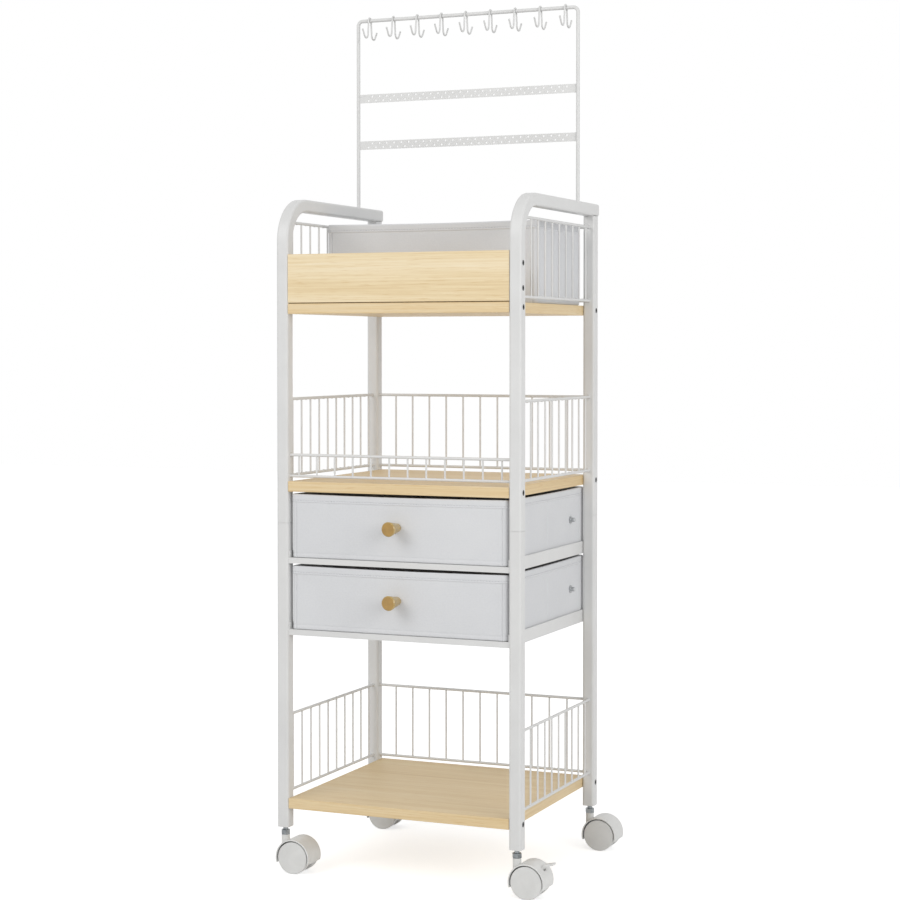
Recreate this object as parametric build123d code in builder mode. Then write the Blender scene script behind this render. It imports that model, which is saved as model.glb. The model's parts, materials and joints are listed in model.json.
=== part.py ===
from build123d import *
import os
from math import atan2, cos, radians, sin

# A slim rolling vanity cart: two bent-tube side frames, three laminated shelves with wire guards,
# two sewn fabric drawers, a fabric bin, a jewellery rack on top and four twin-wheel casters.
# Millimetres. X runs to the right, Y to the back, Z up. The origin is on the floor under the
# middle of the frame.

os.makedirs("parts", exist_ok=True)

# Tube frame
frame_width = 410.0  # over the outer faces of the posts
frame_depth = 350.0
tube_size = 20.0
tube_wall = 1.2
tube_corner = 4.0  # outer corner radius of the tube
bend_radius = 60.0  # centre line of the bend at the top of each front post
insert_clearance = 0.1  # between a tube's bore and what plugs into it
end_gap = 1.0  # left in a blind hole beyond the end of a screw or stem
connector_length = 80.0
connector_wall = 1.5
seam_below_middle_shelf = 49.0
seam_gap = 0.4  # joint line between an upper and a lower post
foot_plug_length = 28.0
cap_flange = 2.5
cap_plug_length = 14.0

# Casters
wheel_diameter = 50.0
wheel_width = 15.0
wheel_edge = 1.5  # rounding of the tread's edges
wheel_dome = 1.4  # how far the middle of a wheel's face stands out
wheel_spacing = 15.0  # between the inner faces of the two wheels
web_clearance = 0.8  # between the hood's web and each wheel
hood_gap = 2.0  # between tread and hood
hood_wall = 1.8
hood_edge = 1.0  # rounding of the hood's rims
hood_skirt = 8.0  # how far the hood reaches below the axle
wheel_proud = 0.5  # how far each wheel's face stands out of the hood
caster_trail = 22.0
axle_diameter = 6.0
axle_engagement = 11.5  # length of axle inside each wheel
running_clearance = 0.05
axle_fit = 0.02  # radial, between an axle and its wheels
neck_diameter = 13.0
neck_rise = 3.2  # top of the neck above the hood
swivel_gap = 0.3  # between the neck and the nut above it
stem_diameter = 8.0
stem_in_neck = 27.0
stem_in_plug = 25.0
stem_exposed = 5.5
nut_across_flats = 13.0
nut_height = 7.0

# Brake levers, on two casters that stand diagonally
lever_pivot_radius = 21.5  # from the axle
lever_pivot_angle = 42.0
lever_hub_diameter = 7.2
lever_pin_diameter = 3.0
lever_width = 8.2
lever_side_gap = 0.3
lever_thickness = 3.0
lever_rise_x = 8.0  # from the pivot to the bend of the lever
lever_rise_z = 11.1
pedal_length = 12.5
pedal_lift = 2.5
pedal_width = 12.0
lever_swing = 18.0  # degrees the pedal goes down
lever_slot_gap = 0.6  # between the lever and the slot's edges over its swing

# Shelves and the front panel of the top tier
shelf_thickness = 16.0
shelf_inset = 1.0  # front and back edges behind the posts' faces
bottom_shelf_rise = 30.0  # underside above the posts' feet
middle_shelf_rise = 497.0  # underside above that of the bottom shelf
top_shelf_rise = 277.0  # underside above that of the middle shelf
rail_rise = 182.0  # top of the side rails above the underside of the top shelf
panel_height = 75.4
panel_thickness = 15.0
panel_gap = 1.4  # joint line between the panel and the top shelf
board_edge = 0.5  # chamfer of the boards' long edges
panel_screw_inset = 19.0  # from the panel's top and bottom edges

# Frame screws, countersunk into the outer faces of the posts
screw_diameter = 4.4
screw_head_diameter = 8.2
screw_bite = 28.0  # length of thread in a shelf
screw_clearance = 0.3  # radial, in the tube
screw_head_sink = 0.15
screw_socket = 3.4  # across the corners of the hexagon socket
screw_socket_depth = 1.4

# Wire guards
guard_rail_diameter = 4.5
guard_wire_diameter = 3.0
guard_wire_pitch = 31.0
guard_lift = 8.0  # lower rail above the shelf
guard_height = 120.0  # between the two rails
front_guard_height = 33.0
weld_gap = 0.03  # where a guard's rail meets the curve of a bent tube

# Drawers and their runners
drawer_gap = 3.0  # between a drawer and the posts' inner faces
drawer_front_recess = 4.0
drawer_back_gap = 5.0  # between a drawer and its back stop
drawer_height = 99.5
drawer_headroom = 3.5
drawer_slide_gap = 0.3
fabric_wall = 4.0  # stiffened sewn panel
fabric_floor = 3.0
fabric_corner = 8.0
base_board_thickness = 3.0
base_board_gap = 1.0
runner_height = 20.0
runner_sheet = 1.2
runner_ledge = 15.0
runner_end_inset = 3.0  # ends of a runner behind the posts' faces
runner_tab_height = 8.0
runner_tab_depth = 6.0
runner_slot_gap = 0.3
cross_rail_lip = 9.0  # height of the front lip below the ledge
cross_rail_depth = 20.0
back_stop_height = 11.0

# Knobs, their screws and the stop studs
knob_length = 33.0
knob_base_diameter = 14.0
knob_head_diameter = 23.0
knob_edge = 1.8  # bevel of the knob's rim
knob_rise = 2.5  # above the middle of the drawer's front
knob_screw_diameter = 4.0
knob_screw_bite = 14.0
knob_screw_head_diameter = 9.0
knob_screw_head_height = 2.4
knob_screw_clearance = 0.05
stud_flange_diameter = 12.0
stud_flange_height = 2.0
stud_pin_diameter = 7.0
stud_pin_height = 8.0  # above the drawer's side
stud_edge = 0.8
stud_shank_diameter = 4.0
stud_washer_diameter = 8.0
stud_washer_height = 1.2
stud_inset = 61.8  # from the drawer's back to the stud

# Fabric bin of the top tier
bin_length = 195.0
bin_height = 129.0
bin_side_gap = 3.0
bin_rear_gap = 5.0  # behind the bin, to the line of the rear posts' front faces

# Jewellery rack
rack_height = 311.5  # centre of the top bar above the side rails
rack_rod_diameter = 6.0
rack_corner_radius = 8.0
rack_setback = 73.0  # from the back of the frame to the rack's legs
rack_socket_clearance = 0.1
strip_height = 14.0
strip_thickness = 1.5
strip_end_gap = 0.1
upper_strip_drop = 129.5  # centre of the strip below the top bar
lower_strip_drop = 207.5
strip_hole_diameter = 3.2
strip_hole_pitch = 13.3
strip_row_offset = 3.4  # each row of holes from the strip's centre line
hook_count = 9
hook_margin = 21.0  # from the rack's legs to the outermost hooks
hook_wire_diameter = 2.8
hook_play = 0.3  # between a hook and the bar
hook_splay = 6.0  # lean of each leg, degrees
hook_leg = 23.5
hook_curl_radius = 7.5
hook_prong = 12.0
hook_prong_lean = 35.0  # degrees outward from upright

# Places that follow from the sizes above
post_x = (frame_width - tube_size) / 2
post_y = (frame_depth - tube_size) / 2
inner_x = frame_width / 2 - tube_size
inner_y = frame_depth / 2 - tube_size
tube_bore = tube_size - 2 * tube_wall
bore_corner = tube_corner - tube_wall
insert_size = tube_bore - 2 * insert_clearance
insert_corner = bore_corner - insert_clearance

wheel_radius = wheel_diameter / 2
hood_inner = wheel_radius + hood_gap
hood_outer = hood_inner + hood_wall
wheel_inner_y = wheel_spacing / 2
wheel_outer_y = wheel_inner_y + wheel_width
hood_half_width = wheel_outer_y - wheel_proud
web_half_width = wheel_inner_y - web_clearance
neck_top_z = wheel_radius + hood_outer + neck_rise
nut_z = neck_top_z + swivel_gap
foot_z = nut_z + nut_height + stem_exposed

bottom_shelf_z = foot_z + bottom_shelf_rise
middle_shelf_z = bottom_shelf_z + middle_shelf_rise
top_shelf_z = middle_shelf_z + top_shelf_rise
rail_top_z = top_shelf_z + rail_rise
rail_axis_z = rail_top_z - tube_size / 2
seam_z = middle_shelf_z - seam_below_middle_shelf
shelf_front_y = -frame_depth / 2 + shelf_inset
panel_y = shelf_front_y + panel_thickness / 2
panel_z = top_shelf_z + shelf_thickness + panel_gap
panel_screw_zs = (panel_z + panel_screw_inset, panel_z + panel_height - panel_screw_inset)

drawer_half_width = inner_x - drawer_gap
drawer_front_y = -frame_depth / 2 + drawer_front_recess
runner_end_y = frame_depth / 2 - runner_end_inset
drawer_back_y = runner_end_y - runner_sheet - drawer_back_gap
drawer_length = drawer_back_y - drawer_front_y
drawer_middle_y = (drawer_front_y + drawer_back_y) / 2
upper_drawer_z = middle_shelf_z - drawer_headroom - drawer_height
upper_ledge_z = upper_drawer_z - drawer_slide_gap
lower_drawer_z = upper_ledge_z - cross_rail_lip - drawer_headroom - drawer_height
lower_ledge_z = lower_drawer_z - drawer_slide_gap
drawer_levels = (("upper", upper_drawer_z, upper_ledge_z), ("lower", lower_drawer_z, lower_ledge_z))
stud_y = drawer_back_y - stud_inset

rack_y = frame_depth / 2 - rack_setback
rack_bar_z = rail_top_z + rack_height
rack_radius = rack_rod_diameter / 2

sides = ((-1, "left"), (1, "right"))
ends = ((-1, "front"), (1, "rear"))
caster_names = [(sx, sy, f"{end}_{side}") for sx, side in sides for sy, end in ends]
braked_casters = ("front_right", "rear_left")


def save(piece, name):
    """Labels a finished piece and writes it as one file."""
    piece.part.label = name
    export_step(piece.part, f"parts/{name}.step")


def tube_ring():
    """The rounded square section of the frame's tube."""
    RectangleRounded(tube_size, tube_size, tube_corner)
    RectangleRounded(tube_bore, tube_bore, bore_corner, mode=Mode.SUBTRACT)


def bent_path():
    """The centre line of a front post that bends back into the top rail."""
    FilletPolyline(
        (-post_y, seam_z),
        (-post_y, rail_axis_z),
        (frame_depth / 2, rail_axis_z),
        radius=bend_radius,
    )


def upright(x, y, z):
    """A level plane at a point, facing up."""
    return Plane(origin=(x, y, z), x_dir=(1, 0, 0), z_dir=(0, 0, 1))


def outward(side, x, y, z):
    """A plane at a point, facing out to the left or right of the cart."""
    return Plane(origin=(x, y, z), x_dir=(0, 1, 0), z_dir=(side, 0, 0))


def forward(x, y, z):
    """A plane at a point, facing the front of the cart, with its own Y axis up."""
    return Plane(origin=(x, y, z), x_dir=(1, 0, 0), z_dir=(0, -1, 0))


def backward(x, y, z):
    """A plane at a point, facing the back of the cart, with its own Y axis up."""
    return Plane(origin=(x, y, z), x_dir=(-1, 0, 0), z_dir=(0, 1, 0))


def screw_holes(side, places):
    """Countersunk holes across a post, for screws at the given depths and heights."""
    with Locations(*[outward(side, side * frame_width / 2, y, z) for y, z in places]):
        CounterSinkHole(
            radius=screw_diameter / 2 + screw_clearance,
            counter_sink_radius=screw_head_diameter / 2 + screw_clearance,
            depth=tube_size,
            counter_sink_angle=90,
        )


def pilot_holes(places):
    """Blind holes in a board's two side edges, for screws at the given depths and heights."""
    mouths = [outward(side, side * inner_x, y, z) for side, _ in sides for y, z in places]
    with Locations(*mouths):
        Hole(radius=screw_diameter / 2, depth=screw_bite)


# Screw places in the posts, as depth and height
shelf_mid = shelf_thickness / 2
front_panel_places = [(panel_y, z) for z in panel_screw_zs]
upper_places = {
    sy: [(sy * post_y, middle_shelf_z + shelf_mid), (sy * post_y, top_shelf_z + shelf_mid)]
    for sy, _ in ends
}
lower_places = {sy: [(sy * post_y, bottom_shelf_z + shelf_mid)] for sy, _ in ends}
upper_places[-1] = upper_places[-1] + front_panel_places

copes = []

# Side frames: each front post bends back into the top rail, which lies on the rear post
for side, side_name in sides:
    with BuildPart() as bent_tube:
        with BuildLine(Plane.YZ.offset(side * post_x)):
            bent_path()
        with BuildSketch(upright(side * post_x, -post_y, seam_z)):
            tube_ring()
        sweep()
        screw_holes(side, upper_places[-1])
        with Locations(upright(side * post_x, rack_y, rail_top_z)):
            Hole(radius=rack_radius + rack_socket_clearance, depth=tube_size / 2)
    save(bent_tube, f"{side_name}_bent_front_tube")

    with BuildPart() as bend_cope:
        with BuildLine(Plane.YZ.offset(side * post_x)):
            bent_path()
        with BuildSketch(upright(side * post_x, -post_y, seam_z)):
            Rectangle(tube_size + 2 * weld_gap, tube_size + 2 * weld_gap)
        sweep()
    copes.append(bend_cope.part)

    with BuildPart() as rear_post:
        with BuildSketch(upright(side * post_x, post_y, seam_z)):
            tube_ring()
        extrude(amount=rail_top_z - tube_size - seam_z)
        screw_holes(side, upper_places[1])
    save(rear_post, f"{side_name}_rear_upper_post")

    for sy, end_name in ends:
        with BuildPart() as lower_post:
            with BuildSketch(upright(side * post_x, sy * post_y, foot_z)):
                tube_ring()
            extrude(amount=seam_z - seam_gap - foot_z)
            screw_holes(side, lower_places[sy])
            for _, _, ledge_z in drawer_levels:
                tab_z = ledge_z - cross_rail_lip + runner_height / 2
                with Locations((side * (inner_x + tube_wall / 2), sy * post_y, tab_z)):
                    Box(
                        2 * tube_wall,
                        runner_sheet + 2 * runner_slot_gap,
                        runner_tab_height + 2 * runner_slot_gap,
                        mode=Mode.SUBTRACT,
                    )
        save(lower_post, f"{side_name}_{end_name}_lower_post")

# Sleeves inside the posts, across the seams
post_places = [(sx * post_x, sy * post_y) for sx, _ in sides for sy, _ in ends]
with BuildPart() as tube_connectors:
    with BuildSketch(*[upright(x, y, seam_z - connector_length / 2) for x, y in post_places]):
        RectangleRounded(insert_size, insert_size, insert_corner)
        connector_bore = insert_size - 2 * connector_wall
        Rectangle(connector_bore, connector_bore, mode=Mode.SUBTRACT)
    extrude(amount=connector_length)
save(tube_connectors, "tube_connectors")

# Threaded plugs in the posts' feet
with BuildPart() as foot_plugs:
    with BuildSketch(*[upright(x, y, foot_z) for x, y in post_places]):
        RectangleRounded(insert_size, insert_size, insert_corner)
        Circle(stem_diameter / 2 + running_clearance, mode=Mode.SUBTRACT)
    extrude(amount=foot_plug_length)
save(foot_plugs, "foot_plugs")

# Caps that close the rear ends of the top rails
with BuildPart() as rail_end_caps:
    cap_planes = [backward(sx * post_x, frame_depth / 2, rail_axis_z) for sx, _ in sides]
    with BuildSketch(*cap_planes):
        RectangleRounded(tube_size, tube_size, tube_corner)
    extrude(amount=cap_flange)
    with BuildSketch(*cap_planes):
        RectangleRounded(insert_size, insert_size, insert_corner)
    extrude(amount=-cap_plug_length)
save(rail_end_caps, "rail_end_caps")

# Shelves, held by screws through the posts
shelf_levels = (
    ("bottom", bottom_shelf_z),
    ("middle", middle_shelf_z),
    ("top", top_shelf_z),
)
for level, shelf_z in shelf_levels:
    with BuildPart() as shelf:
        with BuildSketch(Plane.XY.offset(shelf_z)):
            Rectangle(2 * inner_x, -2 * shelf_front_y)
        extrude(amount=shelf_thickness)
        chamfer(shelf.edges().filter_by(Axis.X), board_edge)
        pilot_holes([(sy * post_y, shelf_z + shelf_mid) for sy, _ in ends])
    save(shelf, f"{level}_shelf")

with BuildPart() as front_panel:
    with BuildSketch(upright(0, panel_y, panel_z)):
        Rectangle(2 * inner_x, panel_thickness)
    extrude(amount=panel_height)
    chamfer(front_panel.edges().filter_by(Axis.X), board_edge)
    pilot_holes(front_panel_places)
save(front_panel, "top_front_panel")

# Countersunk screws through the posts into the boards
screw_places = [
    (side, y, z)
    for side, _ in sides
    for sy, _ in ends
    for y, z in upper_places[sy] + lower_places[sy]
]
with BuildPart() as frame_screws:
    head_x = frame_width / 2 - screw_head_sink
    head_depth = (screw_head_diameter - screw_diameter) / 2
    with Locations(*[outward(-side, side * head_x, y, z) for side, y, z in screw_places]):
        Cylinder(
            screw_diameter / 2,
            tube_size - screw_head_sink + screw_bite - end_gap,
            align=(Align.CENTER, Align.CENTER, Align.MIN),
        )
        Cone(
            screw_head_diameter / 2,
            screw_diameter / 2,
            head_depth,
            align=(Align.CENTER, Align.CENTER, Align.MIN),
        )
    with BuildSketch(*[outward(-side, side * head_x, y, z) for side, y, z in screw_places]):
        RegularPolygon(screw_socket / 2, 6)
    extrude(amount=screw_socket_depth, mode=Mode.SUBTRACT)
save(frame_screws, "frame_screws")


def spread(length, pitch):
    """Even places, a pitch apart and centred, that fit in a length."""
    count = int(length / pitch)
    return [(i - (count - 1) / 2) * pitch for i in range(count)]


def rod(plane, radius, length):
    """A round bar that starts on a plane and runs along the way it faces."""
    with Locations(plane):
        Cylinder(radius, length, align=(Align.CENTER, Align.CENTER, Align.MIN))


def wire_guard(plane, length, height, places):
    """Two level rails with upright wires between them; the plane's own X runs along the rails."""
    for level in (0, height):
        start = plane.from_local_coords((-length / 2, level, 0))
        along = Plane(origin=start, x_dir=plane.z_dir, z_dir=plane.x_dir)
        rod(along, guard_rail_diameter / 2, length)
    for place in places:
        foot = plane.from_local_coords((place, 0, 0))
        rod(Plane(origin=foot, x_dir=plane.x_dir, z_dir=plane.y_dir), guard_wire_diameter / 2, height)


# Wire guards, welded to the posts: both sides and the back of every tier, and a low one in front
side_length = 2 * inner_y
front_length = 2 * inner_x
for level, shelf_z in shelf_levels:
    guard_z = shelf_z + shelf_thickness + guard_lift
    with BuildPart() as side_guards:
        for side, _ in sides:
            places = spread(side_length, guard_wire_pitch)
            wire_guard(outward(1, side * post_x, 0, guard_z), side_length, guard_height, places)
        add(copes, mode=Mode.SUBTRACT)
    save(side_guards, f"{level}_side_guards")

with BuildPart() as rear_guards:
    for level, shelf_z in shelf_levels:
        guard_z = shelf_z + shelf_thickness + guard_lift
        places = spread(front_length, guard_wire_pitch)
        wire_guard(backward(0, post_y, guard_z), front_length, guard_height, places)
save(rear_guards, "rear_guards")

with BuildPart() as front_guard:
    guard_z = middle_shelf_z + shelf_thickness + guard_lift
    places = spread(front_length + guard_wire_pitch, guard_wire_pitch)
    wire_guard(forward(0, -post_y, guard_z), front_length, front_guard_height, places)
save(front_guard, "middle_front_guard")

# Drawer runners: a web against the posts with a ledge, hooked into the posts by tabs,
# and cross rails that tie the two runners together at the front and the back
web_x = inner_x - runner_sheet
ledge_end_y = runner_end_y - cross_rail_depth
for level, _, ledge_z in drawer_levels:
    web_z = ledge_z - cross_rail_lip
    with BuildPart() as runners:
        for side, _ in sides:
            with Locations((side * (inner_x - runner_sheet / 2), 0, web_z + runner_height / 2)):
                Box(runner_sheet, 2 * runner_end_y, runner_height)
            with Locations((side * (inner_x - runner_ledge / 2), 0, ledge_z - runner_sheet / 2)):
                Box(runner_ledge, 2 * ledge_end_y, runner_sheet)
            for sy, _ in ends:
                tab_x = side * (inner_x + runner_tab_depth / 2)
                with Locations((tab_x, sy * post_y, web_z + runner_height / 2)):
                    Box(runner_tab_depth, runner_sheet, runner_tab_height)
    save(runners, f"{level}_drawer_runners")

with BuildPart() as cross_rails:
    for _, _, ledge_z in drawer_levels:
        for sy, _ in ends:
            flange_y = sy * (runner_end_y - cross_rail_depth / 2)
            with Locations((0, flange_y, ledge_z - runner_sheet / 2)):
                Box(2 * web_x, cross_rail_depth, runner_sheet)
        lip_y = runner_end_y - runner_sheet / 2
        with Locations((0, -lip_y, ledge_z - cross_rail_lip / 2)):
            Box(2 * web_x, runner_sheet, cross_rail_lip)
        with Locations((0, lip_y, ledge_z + (back_stop_height - runner_sheet) / 2)):
            Box(2 * web_x, runner_sheet, back_stop_height + runner_sheet)
save(cross_rails, "drawer_cross_rails")


def fabric_box(width, length, height, middle_y, bottom_z):
    """An open box of stiffened fabric panels."""
    with BuildPart() as box:
        with BuildSketch(upright(0, middle_y, bottom_z)):
            RectangleRounded(width, length, fabric_corner)
        extrude(amount=height)
        with BuildSketch(upright(0, middle_y, bottom_z + fabric_floor)):
            Rectangle(width - 2 * fabric_wall, length - 2 * fabric_wall)
        extrude(amount=height - fabric_floor, mode=Mode.SUBTRACT)
    return box.part


# Drawers
drawer_width = 2 * drawer_half_width
for level, drawer_z, _ in drawer_levels:
    middle_z = drawer_z + drawer_height / 2
    knob_z = middle_z + knob_rise
    sewn_box = fabric_box(drawer_width, drawer_length, drawer_height, drawer_middle_y, drawer_z)
    with BuildPart() as drawer_box:
        add(sewn_box)
        with Locations(forward(0, drawer_front_y, knob_z)):
            Hole(radius=knob_screw_diameter / 2 + knob_screw_clearance, depth=2 * fabric_wall)
        stud_mouths = [outward(side, side * drawer_half_width, stud_y, middle_z) for side, _ in sides]
        with Locations(*stud_mouths):
            Hole(radius=stud_shank_diameter / 2 + knob_screw_clearance, depth=2 * fabric_wall)
    save(drawer_box, f"{level}_drawer_box")

    with BuildPart() as base_board:
        margin = 2 * (fabric_wall + base_board_gap)
        with BuildSketch(upright(0, drawer_middle_y, drawer_z + fabric_floor)):
            Rectangle(drawer_width - margin, drawer_length - margin)
        extrude(amount=base_board_thickness)
    save(base_board, f"{level}_drawer_base_board")

    with BuildPart() as knob:
        with Locations(forward(0, drawer_front_y, knob_z)):
            Cone(
                knob_base_diameter / 2,
                knob_head_diameter / 2,
                knob_length,
                align=(Align.CENTER, Align.CENTER, Align.MIN),
            )
        chamfer(knob.edges().filter_by(GeomType.CIRCLE).sort_by(Axis.Y)[0], knob_edge)
        with Locations(backward(0, drawer_front_y, knob_z)):
            Hole(
                radius=knob_screw_diameter / 2 + knob_screw_clearance,
                depth=knob_screw_bite + end_gap,
            )
    save(knob, f"{level}_drawer_knob")

    with BuildPart() as knob_screw:
        seat_y = drawer_front_y + fabric_wall
        with Locations(forward(0, seat_y, knob_z)):
            Cylinder(
                knob_screw_diameter / 2,
                fabric_wall + knob_screw_bite,
                align=(Align.CENTER, Align.CENTER, Align.MIN),
            )
        with Locations(backward(0, seat_y, knob_z)):
            Cylinder(
                knob_screw_head_diameter / 2,
                knob_screw_head_height,
                align=(Align.CENTER, Align.CENTER, Align.MIN),
            )
    save(knob_screw, f"{level}_drawer_knob_screw")

    with BuildPart() as stop_studs:
        with Locations(*stud_mouths):
            Cylinder(
                stud_flange_diameter / 2,
                stud_flange_height,
                align=(Align.CENTER, Align.CENTER, Align.MIN),
            )
            Cylinder(
                stud_pin_diameter / 2,
                stud_pin_height,
                align=(Align.CENTER, Align.CENTER, Align.MIN),
            )
            Cylinder(
                stud_shank_diameter / 2,
                fabric_wall,
                align=(Align.CENTER, Align.CENTER, Align.MAX),
            )
        pin_rims = stop_studs.edges().filter_by(GeomType.CIRCLE).sort_by(Axis.X)
        fillet([pin_rims[0], pin_rims[-1]], stud_edge)
        inner_mouths = [
            outward(-side, side * (drawer_half_width - fabric_wall), stud_y, middle_z)
            for side, _ in sides
        ]
        with Locations(*inner_mouths):
            Cylinder(
                stud_washer_diameter / 2,
                stud_washer_height,
                align=(Align.CENTER, Align.CENTER, Align.MIN),
            )
    save(stop_studs, f"{level}_drawer_stop_studs")

# Fabric bin, standing loose on the top shelf behind an open strip of shelf
bin_z = top_shelf_z + shelf_thickness + drawer_slide_gap
bin_middle_y = inner_y - bin_rear_gap - bin_length / 2
bin_width = 2 * (inner_x - bin_side_gap)
sewn_box = fabric_box(bin_width, bin_length, bin_height, bin_middle_y, bin_z)
with BuildPart() as bin_box:
    add(sewn_box)
save(bin_box, "top_fabric_bin")

# Jewellery rack: a bent rod whose legs stand in the side rails, and two perforated strips
with BuildPart() as rack_frame:
    leg_foot_z = rail_top_z - tube_size + tube_wall
    with BuildLine(Plane.XZ.offset(-rack_y)):
        FilletPolyline(
            (-post_x, leg_foot_z),
            (-post_x, rack_bar_z),
            (post_x, rack_bar_z),
            (post_x, leg_foot_z),
            radius=rack_corner_radius,
        )
    with BuildSketch(upright(-post_x, rack_y, leg_foot_z)):
        Circle(rack_radius)
    sweep()
save(rack_frame, "rack_frame")

strip_length = 2 * (post_x - rack_radius - strip_end_gap)
strip_holes = spread(strip_length - strip_hole_pitch, strip_hole_pitch)
for strip_name, strip_drop in (("upper", upper_strip_drop), ("lower", lower_strip_drop)):
    with BuildPart() as strip:
        with BuildSketch(forward(0, rack_y, rack_bar_z - strip_drop)):
            Rectangle(strip_length, strip_height)
            for row in (-1, 1):
                shift = row * strip_hole_pitch / 4
                with Locations(*[(x + shift, row * strip_row_offset) for x in strip_holes]):
                    Circle(strip_hole_diameter / 2, mode=Mode.SUBTRACT)
        extrude(amount=strip_thickness / 2, both=True)
    save(strip, f"{strip_name}_earring_strip")

# Double hooks that hang over the top bar: a saddle, two splayed legs and two curled prongs
saddle_radius = rack_radius + hook_play + hook_wire_diameter / 2
lean = radians(hook_splay)
prong_lean = radians(hook_prong_lean)
leg_top = (saddle_radius * cos(lean), saddle_radius * sin(lean))
leg_foot = (leg_top[0] + hook_leg * sin(lean), leg_top[1] - hook_leg * cos(lean))
curl_centre = (leg_foot[0] + hook_curl_radius * cos(lean), leg_foot[1] + hook_curl_radius * sin(lean))
curl_low = (curl_centre[0], curl_centre[1] - hook_curl_radius)
curl_end = (
    curl_centre[0] + hook_curl_radius * cos(prong_lean),
    curl_centre[1] - hook_curl_radius * sin(prong_lean),
)
prong_tip = (
    curl_end[0] + hook_prong * sin(prong_lean),
    curl_end[1] + hook_prong * cos(prong_lean),
)
hook_pitch = 2 * (post_x - hook_margin) / (hook_count - 1)
for number in range(hook_count):
    hook_x = (number - (hook_count - 1) / 2) * hook_pitch
    with BuildPart() as hook:
        with BuildLine(Plane(origin=(hook_x, rack_y, rack_bar_z), x_dir=(0, 1, 0), z_dir=(1, 0, 0))):
            Line((-prong_tip[0], prong_tip[1]), (-curl_end[0], curl_end[1]))
            ThreePointArc(
                (-curl_end[0], curl_end[1]),
                (-curl_low[0], curl_low[1]),
                (-leg_foot[0], leg_foot[1]),
            )
            Line((-leg_foot[0], leg_foot[1]), (-leg_top[0], leg_top[1]))
            ThreePointArc((-leg_top[0], leg_top[1]), (0, saddle_radius), leg_top)
            Line(leg_top, leg_foot)
            ThreePointArc(leg_foot, curl_low, curl_end)
            Line(curl_end, prong_tip)
        tip = (hook_x, rack_y - prong_tip[0], rack_bar_z + prong_tip[1])
        with BuildSketch(
            Plane(origin=tip, x_dir=(1, 0, 0), z_dir=(0, sin(prong_lean), -cos(prong_lean)))
        ):
            Circle(hook_wire_diameter / 2)
        sweep()
    save(hook, f"necklace_hook_{number + 1}")

# Caster stems, each with its hexagon nut, screwed into the foot plugs
with BuildPart() as caster_stems:
    stem_foot_z = neck_top_z - stem_in_neck
    with BuildSketch(*[upright(x, y, stem_foot_z) for x, y in post_places]):
        Circle(stem_diameter / 2)
    extrude(amount=foot_z + stem_in_plug - stem_foot_z)
    with BuildSketch(*[upright(x, y, nut_z) for x, y in post_places]):
        RegularPolygon(nut_across_flats / 2, 6, major_radius=False)
    extrude(amount=nut_height)
save(caster_stems, "caster_stems")

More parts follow.
